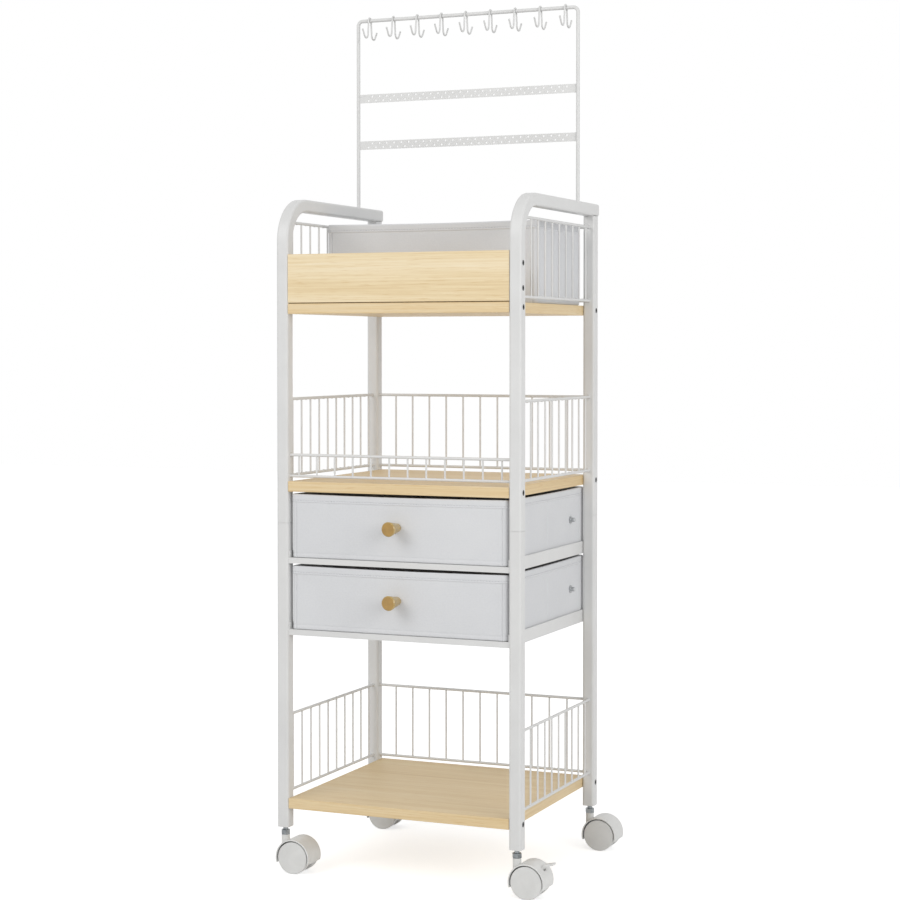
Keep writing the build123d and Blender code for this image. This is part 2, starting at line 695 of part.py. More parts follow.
# Twin-wheel casters: a hood with a middle web and a neck, two wheels on an axle, and on two of
# them a brake lever that turns on a pin in the web
pivot_x = caster_trail + lever_pivot_radius * cos(radians(lever_pivot_angle))
pivot_z = wheel_radius + lever_pivot_radius * sin(radians(lever_pivot_angle))
slot_half_width = lever_width / 2 + lever_side_gap
slot_reach = 2 * lever_pivot_radius
lever_angle = atan2(lever_rise_z, lever_rise_x)
slot_angles = (lever_angle, lever_angle - radians(lever_swing))
for sx, sy, caster in caster_names:
    stem_x = sx * post_x
    stem_y = sy * post_y
    middle = forward(stem_x, stem_y, 0)
    with BuildPart() as hood:
        with BuildSketch(middle):
            with Locations((caster_trail, wheel_radius)):
                Circle(hood_outer)
            with Locations((caster_trail, wheel_radius - hood_skirt)):
                Rectangle(
                    2 * hood_outer,
                    2 * hood_outer,
                    align=(Align.CENTER, Align.MAX),
                    mode=Mode.SUBTRACT,
                )
        extrude(amount=hood_half_width, both=True)
        fillet(hood.edges().filter_by(GeomType.CIRCLE), hood_edge)
        for face in (-1, 1):
            with BuildSketch(middle.offset(face * web_half_width)):
                with Locations((caster_trail, wheel_radius)):
                    Circle(hood_inner)
            extrude(amount=face * (hood_half_width - web_half_width), mode=Mode.SUBTRACT)
        with BuildSketch(upright(stem_x, stem_y, wheel_radius)):
            Circle(neck_diameter / 2)
        extrude(amount=neck_top_z - wheel_radius)
        with Locations(upright(stem_x, stem_y, neck_top_z)):
            Hole(radius=stem_diameter / 2 + running_clearance, depth=stem_in_neck + end_gap)
        with BuildSketch(middle):
            with Locations((caster_trail, wheel_radius)):
                Circle(axle_diameter / 2 + running_clearance)
        extrude(amount=wheel_spacing, both=True, mode=Mode.SUBTRACT)
        if caster in braked_casters:
            with BuildSketch(middle):
                with BuildLine():
                    Polyline(
                        (pivot_x, pivot_z),
                        *[
                            (pivot_x + slot_reach * cos(a), pivot_z + slot_reach * sin(a))
                            for a in slot_angles
                        ],
                        close=True,
                    )
                make_face()
                offset(amount=lever_thickness / 2 + lever_slot_gap)
                with Locations((pivot_x, pivot_z)):
                    Circle(lever_hub_diameter / 2 + lever_side_gap)
            extrude(amount=slot_half_width, both=True, mode=Mode.SUBTRACT)
            with BuildSketch(middle):
                with Locations((pivot_x, pivot_z)):
                    Circle(lever_pin_diameter / 2 + running_clearance)
            extrude(amount=web_half_width, both=True, mode=Mode.SUBTRACT)
    save(hood, f"{caster}_caster_hood")

    with BuildPart() as wheels:
        axle_plane = Plane(
            origin=(stem_x + caster_trail, stem_y, wheel_radius), x_dir=(0, 1, 0), z_dir=(1, 0, 0)
        )
        for face in (-1, 1):
            with BuildSketch(axle_plane):
                with BuildLine():
                    Polyline(
                        (face * wheel_outer_y, 0),
                        (face * (wheel_inner_y + axle_engagement), 0),
                        (face * (wheel_inner_y + axle_engagement), axle_diameter / 2),
                        (face * wheel_inner_y, axle_diameter / 2),
                        (face * wheel_inner_y, wheel_radius),
                        (face * (wheel_outer_y - wheel_dome), wheel_radius),
                    )
                    ThreePointArc(
                        (face * (wheel_outer_y - wheel_dome), wheel_radius),
                        (face * (wheel_outer_y - wheel_dome / 4), wheel_radius / 2),
                        (face * wheel_outer_y, 0),
                    )
                make_face()
            revolve(axis=Axis((stem_x + caster_trail, stem_y, wheel_radius), (0, 1, 0)))
        treads = wheels.edges().filter_by(GeomType.CIRCLE)
        fillet([e for e in treads if abs(e.radius - wheel_radius) < running_clearance], wheel_edge)
        with BuildSketch(middle):
            with Locations((caster_trail, wheel_radius)):
                Circle(axle_diameter / 2 - axle_fit)
        extrude(amount=wheel_inner_y + axle_engagement - insert_clearance, both=True)
    save(wheels, f"{caster}_caster_wheels")

    if caster in braked_casters:
        lever_bend = (pivot_x + lever_rise_x, pivot_z + lever_rise_z)
        pedal_tip = (lever_bend[0] + pedal_length, lever_bend[1] + pedal_lift)
        with BuildPart() as lever:
            with BuildSketch(middle):
                with BuildLine():
                    Line((pivot_x, pivot_z), lever_bend)
                trace(line_width=lever_thickness)
                with Locations((pivot_x, pivot_z)):
                    Circle(lever_hub_diameter / 2)
            extrude(amount=lever_width / 2, both=True)
            with BuildSketch(middle):
                with BuildLine():
                    Line(lever_bend, pedal_tip)
                trace(line_width=lever_thickness)
                with Locations(lever_bend, pedal_tip):
                    Circle(lever_thickness / 2)
            extrude(amount=pedal_width / 2, both=True)
            with BuildSketch(middle):
                with Locations((pivot_x, pivot_z)):
                    Circle(lever_pin_diameter / 2)
            extrude(amount=web_half_width - lever_side_gap, both=True)
        save(lever, f"{caster}_brake_lever")
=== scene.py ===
import json

import bpy
import numpy as np
from mathutils import Matrix, Vector


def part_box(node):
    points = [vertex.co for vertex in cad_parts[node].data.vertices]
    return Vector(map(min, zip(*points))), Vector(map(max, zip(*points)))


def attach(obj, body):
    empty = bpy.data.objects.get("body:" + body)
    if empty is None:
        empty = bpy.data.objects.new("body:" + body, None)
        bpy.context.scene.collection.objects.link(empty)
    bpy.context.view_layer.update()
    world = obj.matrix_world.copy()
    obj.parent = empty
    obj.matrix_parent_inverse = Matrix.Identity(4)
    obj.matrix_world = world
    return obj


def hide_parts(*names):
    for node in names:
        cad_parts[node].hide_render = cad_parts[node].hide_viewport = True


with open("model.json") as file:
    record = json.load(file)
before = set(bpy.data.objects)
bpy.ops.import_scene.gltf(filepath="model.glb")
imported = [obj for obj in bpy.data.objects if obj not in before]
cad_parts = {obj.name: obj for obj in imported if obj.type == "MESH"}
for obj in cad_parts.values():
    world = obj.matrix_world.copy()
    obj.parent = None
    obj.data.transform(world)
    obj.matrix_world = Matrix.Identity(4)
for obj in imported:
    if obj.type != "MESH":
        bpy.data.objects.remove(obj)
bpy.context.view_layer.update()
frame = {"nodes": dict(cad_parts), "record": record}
nodes = frame["nodes"]

# Sewn boxes, in metres
cloth_wall = 0.004
cloth_floor = 0.003
front_corner = 0.008
back_corner = 0.0045
back_proud = 0.004  # how far the drawers' cloth stands out of its solid towards the back stop
foot_radius = 0.003  # rounding between a wall and the bottom
hem_height = 0.0127
hem_step = 0.0009  # how far the hem stands out of the panel below it
hem_ramp = 0.0005  # half height of that step
hem_fade = 0.02  # distance from a back corner over which the step is lost
hem_roll = cloth_wall / 2  # radius of the rolled top edge
edge_sag = 0.0013  # dip of a top edge half way along a side
crown_height = 0.0006  # bulge of a panel
crown_run = 0.05  # from a side's end to the full bulge
ripple_height = 0.00013  # waves on the bulge
stitch_rise = 0.003  # stitches above the hem's lower edge
stitch_pitch = 0.0048
stitch_axes = (0.0017, 0.0005, 0.0004)  # half lengths along, up and out
stitch_sink = 0.0002  # middle of a stitch inside the wall's outline
corner_seam = 0.0012  # seam beside a corner, from the end of the straight wall
bottom_seam = 0.007  # seam above the bottom edge

# Grooves in the cloth: depth and half width, in metres
stitch_groove = (0.0004, 0.0007)
corner_groove = (0.0012, 0.0008)
bottom_groove = (0.0004, 0.0011)
crease_groove = (0.0006, 0.0011)

# Waves of a panel: height, radians per metre along and up, start, and start added for each side
ripples = ((1.0, 37, 61, 0.0, 1.3), (0.6, 83, -47, 0.7, 0.0), (0.5, 19, 131, 0.0, 0.0))

# Seats of what is fastened to a drawer: radii and depth in metres, the rest in radii
knob_seat = 0.007
stud_seat = 0.006
seat_end = 8 / 3  # where the cloth is free again
pucker_depth = 0.0003
pucker_place = 2.2
pucker_width = 0.6

# Welded wire guards, in metres
guard_rail_radius = 0.00225
guard_wire_radius = 0.0015
guard_wire_pitch = 0.031
wire_rise = 0.8 * guard_rail_radius  # where a wire comes out of its rail, from the rail's middle
tube_size = 0.020
bend_radius = 0.060

# Weld collars: spread and length in metres, then points round and along
rail_collar = (0.0012, 0.0022, 14, 6)
wire_collar = (0.0004, 0.0010, 8, 3)
collar_skin = 0.00003  # thickness left at a collar's end, in metres
collar_sink = 0.0002  # inner face under the bar's surface, in metres
collar_lumps = 3
lump_height = 0.25  # in spreads

# Dark strip in the joint under the front panel, in metres: painted shade, standing in for the shadow inside
# the gap between the boards
strip_setback = 0.004  # behind the boards' faces
strip_inset = 0.001  # from the panel's ends
strip_wave = 0.0001  # waviness of its sawn edges
strip_wave_rate = 90  # radians per metre
strip_square = 0.3  # exponent of its section, 1 for an ellipse

# Floor and light: strengths, lengths in metres, and each lamp's name, place, size and watts
floor_reach = 9.0
floor_glow = 0.62
sky_strength = 0.61
lamp_aim = (0, 0, 0.7)
lamps = (("key", (-1.6, -3.2, 2.6), 2.2, 46.0), ("fill", (3.0, -1.6, 1.6), 2.0, 40.0))

# Camera, turned 23 degrees to the right of the front and almost level
camera_place = (1.317734, -3.050965, 0.822799)
camera_ahead = (-0.3925, 0.9195, -0.0227)
camera_right = (0.9197, 0.3926, 0.0)
camera_lens = 83.04  # millimetres, for a sensor 36 mm wide
camera_shift = -0.0624  # in widths of the picture

# Where most values of a noise lie
noise_spread = {"From Min": 0.3, "From Max": 0.7}


# Colours and shader nodes

def linear(hex_colour):
    """An sRGB hex colour as linear red, green, blue and alpha."""
    srgb = np.array([int(hex_colour[i:i + 2], 16) for i in (1, 3, 5)]) / 255.0
    flat = np.where(srgb <= 0.04045, srgb / 12.92, ((srgb + 0.055) / 1.055) ** 2.4)
    return (*flat.tolist(), 1.0)


def per_mm(size):
    """The texture scale that gives features of this size in millimetres on metre coordinates."""
    return 1000.0 / size


def put(tree, kind, inputs=None, stops=(), to=None, **settings):
    """Adds one node with its settings and links.

    Settings are the node's own properties. Inputs are the values or links of its sockets, where a
    node stands for its first output. Stops are the places and hex colours of a ramp, and to is a
    socket that the new node's first output feeds.
    """
    node = tree.nodes.new(kind)
    for name, value in settings.items():
        setattr(node, name, value)
    for socket, value in (inputs or {}).items():
        if isinstance(value, bpy.types.Node):
            value = value.outputs[0]
        if isinstance(value, bpy.types.NodeSocket):
            tree.links.new(value, node.inputs[socket])
        else:
            node.inputs[socket].default_value = value
    for number, (place, colour) in enumerate(stops):
        points = node.color_ramp.elements
        point = points[number] if number < len(points) else points.new(place)
        point.position = place
        point.color = linear(colour)
    if to is not None:
        tree.links.new(node.outputs[0], to)
    return node


def finish_of(name, fixed):
    """A new material of one shader, with the sockets set that are the same all over the surface."""
    material = bpy.data.materials.new(name)
    material.use_nodes = True
    tree = material.node_tree
    tree.nodes.clear()
    shader = put(tree, "ShaderNodeBsdfPrincipled", fixed)
    put(tree, "ShaderNodeOutputMaterial", {"Surface": shader})
    coords = put(tree, "ShaderNodeTexCoord").outputs
    return material, tree, shader.inputs, coords


def powder_coated_steel():
    """Polyester powder coat baked on steel: satin white with a faint orange peel.

    The peel of a real coat is about 1.5 mm across, drawn at 3 mm here so that it shows.
    """
    material, tree, shader, coords = finish_of("powder_coated_steel", {"IOR": 1.5})
    cloud = put(tree, "ShaderNodeTexNoise", {
        "Vector": coords["Object"], "Scale": per_mm(90), "Detail": 4.0, "Roughness": 0.6})
    put(tree, "ShaderNodeValToRGB", {"Fac": cloud}, to=shader["Base Color"],
        stops=((0.3, "#D6D6D5"), (0.7, "#DDDDDC")))
    put(tree, "ShaderNodeMapRange", {
        "Value": cloud, **noise_spread, "To Min": 0.36, "To Max": 0.47},
        to=shader["Roughness"])
    peel = put(tree, "ShaderNodeTexNoise", {
        "Vector": coords["Object"], "Scale": per_mm(3), "Detail": 2.0, "Roughness": 0.5})
    put(tree, "ShaderNodeBump", {"Height": peel, "Distance": 0.0001}, to=shader["Normal"])
    return material


def wood_print_laminate(name, tones):
    """Particle board faced with a melamine wood print: pale grain in long streaks along X.

    Broad bands are 30 mm wide and 700 mm long, streaks 2.8 mm by 190 mm, pores 1.1 mm by 30 mm.
    On the short edges the print of the edge band runs along Y instead. Tones are four hex colours
    from the late to the early wood.
    """
    material, tree, shader, coords = finish_of(name, {"IOR": 1.5})
    facing = put(tree, "ShaderNodeSeparateXYZ", {"Vector": coords["Normal"]})
    short = put(tree, "ShaderNodeMath", {0: facing.outputs["X"]}, operation="ABSOLUTE")
    place = put(tree, "ShaderNodeSeparateXYZ", {"Vector": coords["Object"]}).outputs
    turned = put(tree, "ShaderNodeCombineXYZ", {"X": place["Y"], "Y": place["X"], "Z": place["Z"]})
    grain_way = put(tree, "ShaderNodeMix", {0: short, 4: coords["Object"], 5: turned},
                    data_type="VECTOR").outputs[1]
    layers = []
    for width, length, detail in ((30, 700, 2.0), (2.8, 190, 3.0), (1.1, 30, 1.0)):
        stretched = put(tree, "ShaderNodeMapping", {
            "Vector": grain_way, "Scale": (per_mm(length), per_mm(width), per_mm(width))})
        layers.append(put(tree, "ShaderNodeTexNoise", {
            "Vector": stretched, "Scale": 1.0, "Detail": detail, "Roughness": 0.55,
            "Distortion": 0.3}))
    bands, streaks, pores = layers
    tone = put(tree, "ShaderNodeMix", {0: 0.55, 2: bands, 3: streaks}, data_type="FLOAT")
    grain = put(tree, "ShaderNodeValToRGB", {"Fac": tone}, stops=tuple(
        zip((0.34, 0.45, 0.55, 0.68), tones)))
    dashes = put(tree, "ShaderNodeValToRGB", {"Fac": pores}, stops=(
        (0.58, "#FFFFFF"), (0.76, "#E3CFA8")))
    blend = put(tree, "ShaderNodeMix", {0: 0.5, 6: grain, 7: dashes},
                data_type="RGBA", blend_type="MULTIPLY")
    tree.links.new(blend.outputs[2], shader["Base Color"])
    put(tree, "ShaderNodeMapRange", {
        "Value": streaks, **noise_spread, "To Min": 0.42, "To Max": 0.56},
        to=shader["Roughness"])
    put(tree, "ShaderNodeBump", {"Height": streaks, "Distance": 0.00006}, to=shader["Normal"])
    return material


def spunbond_fabric():
    """Non-woven polypropylene over card: pale grey felted fibre, embossed with bond points.

    The points of the real cloth are about 1.5 mm apart, drawn 2.6 mm apart so that they show.
    """
    material, tree, shader, coords = finish_of("spunbond_fabric", {
        "IOR": 1.49, "Roughness": 0.9, "Sheen Weight": 0.15, "Sheen Roughness": 0.5,
        "Specular IOR Level": 0.25})
    points = put(tree, "ShaderNodeTexVoronoi", {
        "Vector": coords["Object"], "Scale": per_mm(2.6), "Randomness": 0.2})
    fibre = put(tree, "ShaderNodeTexNoise", {
        "Vector": coords["Object"], "Scale": per_mm(3), "Detail": 6.0, "Roughness": 0.7})
    cloud = put(tree, "ShaderNodeTexNoise", {
        "Vector": coords["Object"], "Scale": per_mm(110), "Detail": 2.0})
    mixed = put(tree, "ShaderNodeMix", {0: 0.5, 2: fibre, 3: cloud}, data_type="FLOAT")
    put(tree, "ShaderNodeValToRGB", {"Fac": mixed}, to=shader["Base Color"],
        stops=((0.3, "#D4D5D7"), (0.5, "#D9DADC"), (0.7, "#DDDEDF")))
    height = put(tree, "ShaderNodeMath", {0: points, 1: fibre}, operation="ADD")
    put(tree, "ShaderNodeBump", {"Height": height, "Distance": 0.00016, "Strength": 0.6},
        to=shader["Normal"])
    return material


def sewing_thread():
    """Spun polyester thread, two plies twisted: slightly darker than the cloth it holds."""
    material, tree, shader, coords = finish_of("sewing_thread", {"IOR": 1.55, "Roughness": 0.7})
    twist = put(tree, "ShaderNodeTexNoise", {
        "Vector": coords["Object"], "Scale": per_mm(1.2), "Detail": 2.0})
    put(tree, "ShaderNodeValToRGB", {"Fac": twist}, to=shader["Base Color"],
        stops=((0.35, "#BEBFC3"), (0.65, "#D2D3D6")))
    put(tree, "ShaderNodeBump", {"Height": twist, "Distance": 0.0001}, to=shader["Normal"])
    return material


def lacquered_beech():
    """Turned beech under clear lacquer: golden, with short flecks along the knob's axis.

    Flecks are 0.9 mm wide and 7 mm long on the side. The end grain is darker, with dots.
    """
    material, tree, shader, coords = finish_of("lacquered_beech", {
        "IOR": 1.52, "Coat Weight": 0.7, "Coat Roughness": 0.12})
    stretched = put(tree, "ShaderNodeMapping", {
        "Vector": coords["Object"], "Scale": (per_mm(0.9), per_mm(7), per_mm(0.9))})
    fleck = put(tree, "ShaderNodeTexNoise", {"Vector": stretched, "Scale": 1.0, "Detail": 2.0})
    growth = put(tree, "ShaderNodeTexNoise", {
        "Vector": coords["Object"], "Scale": per_mm(9), "Detail": 2.0, "Distortion": 0.6})
    mixed = put(tree, "ShaderNodeMix", {0: 0.5, 2: fleck, 3: growth}, data_type="FLOAT")
    side = put(tree, "ShaderNodeValToRGB", {"Fac": mixed}, stops=(
        (0.35, "#A08238"), (0.65, "#B89C58")))
    end = put(tree, "ShaderNodeValToRGB", {"Fac": mixed}, stops=(
        (0.35, "#94702A"), (0.65, "#AC8535")))
    facing = put(tree, "ShaderNodeSeparateXYZ", {"Vector": coords["Normal"]})
    front = put(tree, "ShaderNodeMapRange", {
        "Value": facing.outputs["Y"], "From Min": -0.95, "From Max": -0.75,
        "To Min": 1.0, "To Max": 0.0})
    blend = put(tree, "ShaderNodeMix", {0: front, 6: side, 7: end}, data_type="RGBA")
    tree.links.new(blend.outputs[2], shader["Base Color"])
    put(tree, "ShaderNodeMapRange", {
        "Value": fleck, **noise_spread, "To Min": 0.34, "To Max": 0.48},
        to=shader["Roughness"])
    put(tree, "ShaderNodeBump", {"Height": fleck, "Distance": 0.00005}, to=shader["Normal"])
    return material


def moulded_plastic(name, pale, dark, rough):
    """Injection moulded plastic: even colour, a fine spark-eroded texture and faint flow marks.

    The texture of the mould is about 0.5 mm, drawn at 1.6 mm so that it shows.
    """
    material, tree, shader, coords = finish_of(name, {"IOR": 1.53})
    flow = put(tree, "ShaderNodeTexNoise", {
        "Vector": coords["Object"], "Scale": per_mm(28), "Detail": 3.0, "Distortion": 0.8})
    put(tree, "ShaderNodeValToRGB", {"Fac": flow}, to=shader["Base Color"],
        stops=((0.3, dark), (0.7, pale)))
    put(tree, "ShaderNodeMapRange", {
        "Value": flow, **noise_spread, "To Min": rough - 0.05,
        "To Max": rough + 0.07}, to=shader["Roughness"])
    spark = put(tree, "ShaderNodeTexNoise", {
        "Vector": coords["Object"], "Scale": per_mm(1.6), "Detail": 1.0})
    put(tree, "ShaderNodeBump", {"Height": spark, "Distance": 0.00006}, to=shader["Normal"])
    return material


def plated_steel(name, dark, pale, axis):
    """Bright plating on turned steel: cool grey metal with rings 1.25 mm apart along the turned axis."""
    material, tree, shader, coords = finish_of(name, {"Metallic": 1.0})
    rings = put(tree, "ShaderNodeTexWave", {
        "Vector": coords["Object"], "Scale": per_mm(1.25) / (2 * np.pi), "Distortion": 0.3},
        bands_direction=axis)
    cloud = put(tree, "ShaderNodeTexNoise", {
        "Vector": coords["Object"], "Scale": per_mm(12), "Detail": 3.0})
    put(tree, "ShaderNodeValToRGB", {"Fac": cloud}, to=shader["Base Color"],
        stops=((0.3, dark), (0.7, pale)))
    put(tree, "ShaderNodeMapRange", {
        "Value": cloud, **noise_spread, "To Min": 0.28, "To Max": 0.42},
        to=shader["Roughness"])
    put(tree, "ShaderNodeBump", {"Height": rings, "Distance": 0.00012}, to=shader["Normal"])
    return material


def black_oxide_steel():
    """Blackened screw steel: dark, a little oily, with wear that shows the steel at its grain."""
    material, tree, shader, coords = finish_of("black_oxide_steel", {"Metallic": 0.8})
    wear = put(tree, "ShaderNodeTexNoise", {
        "Vector": coords["Object"], "Scale": per_mm(1.8), "Detail": 3.0})
    put(tree, "ShaderNodeValToRGB", {"Fac": wear}, to=shader["Base Color"],
        stops=((0.45, "#1E1F21"), (0.75, "#4A4B4E")))
    put(tree, "ShaderNodeMapRange", {
        "Value": wear, **noise_spread, "To Min": 0.35, "To Max": 0.5},
        to=shader["Roughness"])
    put(tree, "ShaderNodeBump", {"Height": wear, "Distance": 0.00005}, to=shader["Normal"])
    return material


def bare_fibreboard():
    """Hard-pressed fibreboard: brown felted fibre in short random flakes about 3 mm long."""
    material, tree, shader, coords = finish_of("bare_fibreboard", {"IOR": 1.5, "Roughness": 0.8})
    flakes = put(tree, "ShaderNodeTexVoronoi", {"Vector": coords["Object"], "Scale": per_mm(3)})
    fibre = put(tree, "ShaderNodeTexNoise", {
        "Vector": coords["Object"], "Scale": per_mm(6), "Detail": 6.0})
    mixed = put(tree, "ShaderNodeMix", {0: 0.6, 2: flakes, 3: fibre}, data_type="FLOAT")
    put(tree, "ShaderNodeValToRGB", {"Fac": mixed}, to=shader["Base Color"],
        stops=((0.25, "#8A6F50"), (0.7, "#B39671")))
    put(tree, "ShaderNodeBump", {"Height": fibre, "Distance": 0.00012}, to=shader["Normal"])
    return material


finishes = {
    "powder_coat": powder_coated_steel(),
    "shelf_laminate": wood_print_laminate(
        "shelf_print_laminate", ("#D6BA8A", "#DDC395", "#E3CCA2", "#E6D3B0")),
    "panel_laminate": wood_print_laminate(
        "panel_print_laminate", ("#DFC79B", "#E6D1A8", "#ECDAB6", "#F0E2C6")),
    "drawer_fabric": spunbond_fabric(),
    "base_board": bare_fibreboard(),
    "knob_beech": lacquered_beech(),
    "plug_plastic": moulded_plastic("moulded_polypropylene", "#DEDEDD", "#D6D6D5", 0.42),
    "dark_screw": black_oxide_steel(),
    "zinc": plated_steel("zinc_plated_steel", "#75797C", "#9FA3A5", "Z"),
    "caster_shell": moulded_plastic("caster_abs", "#E0E0DE", "#D7D7D5", 0.36),
    "caster_wheel": moulded_plastic("caster_nylon", "#DEDEDC", "#D4D4D2", 0.45),
}
thread = sewing_thread()
stud_nickel = plated_steel("nickel_plated_steel", "#A6A9AB", "#C4C6C7", "X")


# The rigid nodes keep their solids and take their finishes

for entry in frame["record"]["subparts"]:
    node = nodes[entry["node"]]
    stud = entry["node"].endswith("_stop_studs")
    node.data.materials.clear()
    node.data.materials.append(stud_nickel if stud else finishes[entry["material_slot"]])


# Meshes from arrays

def mesh_piece(name, points, faces, material, body):
    """A smooth-shaded piece from arrays of points and faces, riding on a body."""
    mesh = bpy.data.meshes.new(name)
    mesh.from_pydata(points.reshape(-1, 3).tolist(), [], faces)
    mesh.polygons.foreach_set("use_smooth", np.ones(len(mesh.polygons), bool))
    mesh.materials.append(material)
    piece = bpy.data.objects.new(name, mesh)
    bpy.context.scene.collection.objects.link(piece)
    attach(piece, body)
    return piece


def grid_faces(around, along, closed=False):
    """Quads over a grid of points that is closed round its first way, and its second too if asked."""
    index = np.arange(around * along).reshape(around, along)
    far = np.roll(index, -1, axis=0)
    up, far_up = (np.roll(grid, -1, axis=1) for grid in (index, far))
    quads = np.stack([index, far, far_up, up], axis=-1)
    return (quads if closed else quads[:, :-1]).reshape(-1, 4)


def capped_faces(around, along):
    """Quads over a grid of points closed round its first way, with one face over each end."""
    index = np.arange(around * along).reshape(around, along)
    return grid_faces(around, along).tolist() + [index[::-1, 0].tolist(), index[:, -1].tolist()]


# Sewn boxes: two drawers and the bin

def cloth_box(node):
    """The lowest corner, middle and size of a sewn box: its node's box, a little longer for a drawer."""
    low, high = (np.array(corner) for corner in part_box(node))
    if node.endswith("_drawer_box"):
        high[1] += back_proud
    return low, (low + high) / 2, high - low


def half_side(reach):
    """Places from the middle of a side to its end, 0.6 mm apart near both and wider between."""
    close = np.arange(0.0, 0.0075, 0.0006)
    between = np.linspace(0.0045, reach - 0.009, 26)
    return np.concatenate([close[:7], between, reach - close[::-1]])


def wall_outline(half_x, half_y):
    """A closed rounded rectangle seen from above, walked from the front left to the right.

    Each straight side is a row of places that crowd at its middle and its ends, and each corner a
    quarter circle, tighter at the back. Gives the points, their outward normals, the side each is on
    (0 front, 1 right, 2 back, 3 left), and its distances from the middle and from the nearer end of
    that side.
    """
    bend = np.linspace(0.0, np.pi / 2, 11)[1:-1]
    corners = (front_corner, back_corner, back_corner, front_corner)
    points, normals, sides, runs, ends = [], [], [], [], []
    for side in range(4):
        out = np.array([np.sin(side * np.pi / 2), -np.cos(side * np.pi / 2)])
        way = np.array([-out[1], out[0]])
        length, depth = ((half_x, half_y), (half_y, half_x))[side % 2]
        start, stop = length - corners[side - 1], length - corners[side]
        run = np.concatenate([-half_side(start)[:0:-1], half_side(stop)])
        turn = np.cos(bend)[:, None] * out + np.sin(bend)[:, None] * way
        hub = stop * way + (depth - corners[side]) * out
        points += [run[:, None] * way + depth * out, hub + corners[side] * turn]
        normals += [np.repeat(out[None], len(run), 0), turn]
        sides.append(np.full(len(run) + len(bend), side))
        runs += [run, np.full(len(bend), stop)]
        ends += [np.where(run < 0, start, stop) - np.abs(run), np.zeros(len(bend))]
    return tuple(np.concatenate(part) for part in (points, normals, sides, runs, ends))


def groove(distance, depth, width):
    """A smooth groove: its depth times a bell curve, lost a few widths away from its middle."""
    return depth * np.exp(-(distance / width) ** 2)


def sag(run, end, level, height):
    """How far a wall's top edge hangs: an arch over the side, lost below with the height's sixth power."""
    length = np.maximum(np.abs(run) + end, 1e-9)
    share = np.clip(end / length, 0.0, 1.0)
    return edge_sag * np.sin(np.pi / 2 * share) * np.clip(level / height, 0.0, 1.0) ** 6


def wall_profile(height):
    """The section of a wall: under the floor, up the outside, over the rolled edge, down the inside.

    Gives how far each point lies inside the outer face, its height, and how much it takes of the
    outer face's moulding. Rows lie close together at the bottom seam and at the hem's lower edge.
    """
    hem_edge = height - hem_height
    shoulder = height - hem_roll
    seam_rows = np.arange(foot_radius, 0.011, 0.0008)
    panel_rows = np.linspace(0.011, hem_edge - 0.004, 24)
    step_rows = np.arange(hem_edge - 0.0035, hem_edge + 0.0055, 0.0004)
    hem_rows = np.linspace(hem_edge + 0.0058, shoulder, 6)
    outer = np.unique(np.concatenate([seam_rows, panel_rows, step_rows, hem_rows]))
    foot = np.linspace(0.0, np.pi / 2, 6)
    arch = np.linspace(0.0, np.pi, 11)[1:-1]
    # Inset, height and share of the moulding: underside, foot, outside, rolled edge, inside, floor
    parts = (
        ([0.0042, 0.0036], 0.0, 0.0),
        (foot_radius * (1 - np.sin(foot)), foot_radius * (1 - np.cos(foot)),
         np.linspace(0.0, 1.0, len(foot))),
        (0.0, outer[1:], 1.0),
        (hem_roll * (1 - np.cos(arch)), shoulder + hem_roll * np.sin(arch), (1 + np.cos(arch)) / 2),
        (cloth_wall, np.linspace(shoulder, cloth_floor + 0.002, 18), 0.0),
        (cloth_wall + np.array([0.0001, 0.0002, 0.0004]), cloth_floor + np.array([0.0006, 0.0, 0.0]), 0.0),
    )
    return np.concatenate([np.stack(np.broadcast_arrays(*part)) for part in parts], axis=1)


